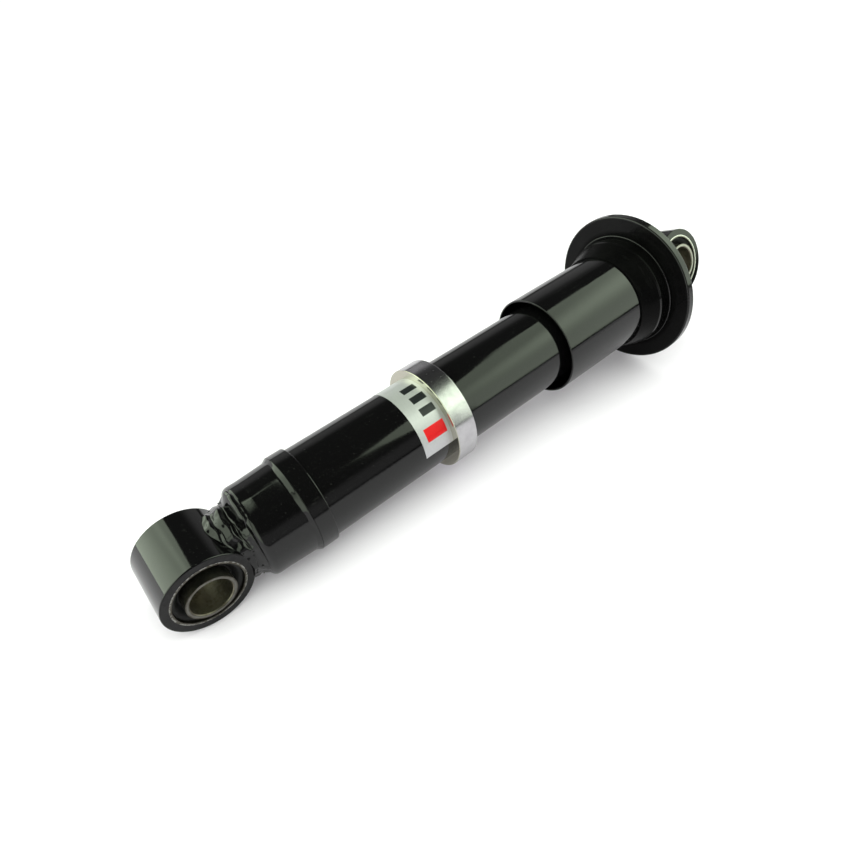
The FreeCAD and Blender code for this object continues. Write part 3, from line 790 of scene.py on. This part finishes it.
# Each pass: where it starts, crests and ends, its height (mm) and its seed.
WELD_PASSES = ((12.2, 15.6, 17.4, 1.4, 11.0), (17.3, 21.2, 23.4, 2.0, 37.0))
OUTSIDE_POINTS = 60
ROUND_STEPS = 300


def smooth_noise(spot, size, seed):
    """Noise from about -1 to 1 whose lumps are about size mm across."""
    return noise.noise((spot + Vector((seed, seed * 0.37, 0))) / size)


def near_end(angle):
    """Where the sleeve starts: just inside the eye's barrel (mm)."""
    barrel = math.sqrt((eye_radius / MM) ** 2 - (NECK_RADIUS * math.cos(angle)) ** 2)
    return barrel - BARREL_OVERLAP


def tile(x, low, crest, high):
    """A pass of weld from 0 to 1: a slow climb to its crest and a quick drop."""
    if x < low or x > high:
        return 0.0
    if x < crest:
        return ((x - low) / (crest - low)) ** 0.85
    return math.sqrt(1 - ((x - crest) / (high - crest)) ** 2)


def blend(value, low, high):
    """0 below low, 1 above high, and smooth between."""
    share = min(1.0, max(0.0, (value - low) / (high - low)))
    return share * share * (3 - 2 * share)


def weld_surface(x, angle):
    """Radius of the weld (mm) at a station along the axis and an angle from the top."""
    spot = Vector((0, math.sin(angle) * 19, math.cos(angle) * 19))
    top = 1 - blend(abs(angle - 0.12), 0.35, 0.75)
    neck = NECK_RADIUS + NECK_FLARE * (x - FLARE_FROM)
    radius = neck
    for low, crest, high, height, seed in WELD_PASSES:
        shift = 1.5 * smooth_noise(spot, 7.0, seed) + 0.3 * smooth_noise(spot, 3.0, seed + 3)
        swell = 0.3 + 0.7 * top + 0.5 * smooth_noise(spot, 6.0, seed + 5)
        radius += height * swell * tile(x + shift, low, crest, high)
    shift = 0.7 * smooth_noise(spot, 6.0, 83.0) + 0.25 * smooth_noise(spot, 2.0, 86.0)
    capped = 1 - blend(abs(angle + 0.03), 0.38, 0.62)
    climb = blend(x + shift, 23.4, 28.4)
    radius += climb * (2.7 + 2.4 * capped - radius + neck)
    radius -= 1.2 * blend(x, 29.7, WELD_FAR_END)
    whole = Vector((x, spot.y, spot.z))
    calm = 1 - 0.6 * blend(x, 25.0, 28.0) * (1 - capped)
    return (radius + 0.75 * calm * smooth_noise(whole, 4.5, 2.0)
            + 0.2 * calm * smooth_noise(whole, 2.0, 4.0))


outside = [(i / (OUTSIDE_POINTS - 1), NECK_RADIUS * MM) for i in range(OUTSIDE_POINTS)]
sleeve = spun(outside + [(1.0, WELD_INSIDE * MM), (0.0, WELD_INSIDE * MM)],
              Vector((1, 0, 0)), ROUND_STEPS)
for vert in sleeve.verts:
    share = vert.co.x
    radius = math.hypot(vert.co.y, vert.co.z)
    angle = math.atan2(-vert.co.y, vert.co.z)
    x = near_end(angle) + share * (WELD_FAR_END - near_end(angle))
    if radius > (WELD_INSIDE + 1) * MM:
        radius = weld_surface(x, angle) * MM
    vert.co = Vector((x * MM, -radius * math.sin(angle), radius * math.cos(angle)))
for _ in range(4):
    bmesh.ops.smooth_vert(sleeve, verts=sleeve.verts, factor=0.5,
                          use_axis_x=True, use_axis_y=True, use_axis_z=True)
bmesh.ops.recalc_face_normals(sleeve, faces=sleeve.faces)
placed(sleeve, "neck_weld", "damper_tube", finishes["gloss_black_paint"],
       "gloss_black_paint", "lower_eye_weld")

# %% [markdown]
# ### Spatter
# A hand-held welding torch throws drops of metal, which freeze as small beads
# and stay under the paint. They could be bumps in the weld's own mesh, but
# loose balls sunk a little into its surface are simpler and rounder. Their
# places come from a seeded random generator, so every run is the same.

# %% Beads that stuck in the valleys of the weld
SPATTER_COUNT = 46
SPATTER_STATIONS = (17.4, 24.3, 24.3)
chance = random.Random(7)
spatter = bmesh.new()
for _ in range(SPATTER_COUNT):
    angle = chance.uniform(-math.pi, math.pi)
    x = max(near_end(angle) + 1.5, chance.choice(SPATTER_STATIONS) + chance.gauss(0, 0.5))
    size = chance.uniform(0.16, 0.42)
    radius = weld_surface(x, angle) + size * 0.2
    at = Vector((x, -radius * math.sin(angle), radius * math.cos(angle)))
    bmesh.ops.create_icosphere(spatter, subdivisions=2, radius=size * MM,
                               matrix=Matrix.Translation(at * MM))
placed(spatter, "weld_spatter", "damper_tube", finishes["gloss_black_paint"],
       "gloss_black_paint")

# %% [markdown]
# ### Collar fillet
# The collar's weld is a thinner fillet with a wandering lower edge. It fills
# the corner between the tube and the collar, and stands for the CAD's cone.
# A spun section gives the hollow curve, and noise then moves its points.

# %% Collar fillet
weld_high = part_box("collar_weld")[1]
tube_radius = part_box("reserve_tube")[1].z
# How far each point lies back from the collar, and above the tube (mm).
FILLET = ((0.0, -0.4), (0.0, 1.36), (0.4, 1.24), (1.0, 0.92), (1.6, 0.58), (2.2, 0.27),
          (2.7, 0.02), (3.1, -0.2), (3.15, -0.4))
fillet = spun([(weld_high.x - back * MM, tube_radius + rise * MM) for back, rise in FILLET],
              Vector((1, 0, 0)), ROUND_STEPS)
for vert in fillet.verts:
    back = weld_high.x - vert.co.x
    spot = vert.co / MM
    spot.x = 0
    rise = math.hypot(vert.co.y, vert.co.z) - tube_radius
    if rise > -0.3 * MM and back > 0.1 * MM:
        wide = 0.9 + 0.35 * smooth_noise(spot, 15.0, 4.0) + 0.1 * smooth_noise(spot, 3.0, 8.0)
        vert.co.x = weld_high.x - back * wide
        arm = Vector((0, vert.co.y, vert.co.z)).normalized()
        vert.co += arm * (0.12 * smooth_noise(vert.co / MM, 5.0, 21.0)
                          + 0.02 * smooth_noise(vert.co / MM, 1.3, 25.0)) * MM
placed(fillet, "collar_fillet", "damper_tube", finishes["gloss_black_paint"],
       "gloss_black_paint", "collar_weld")
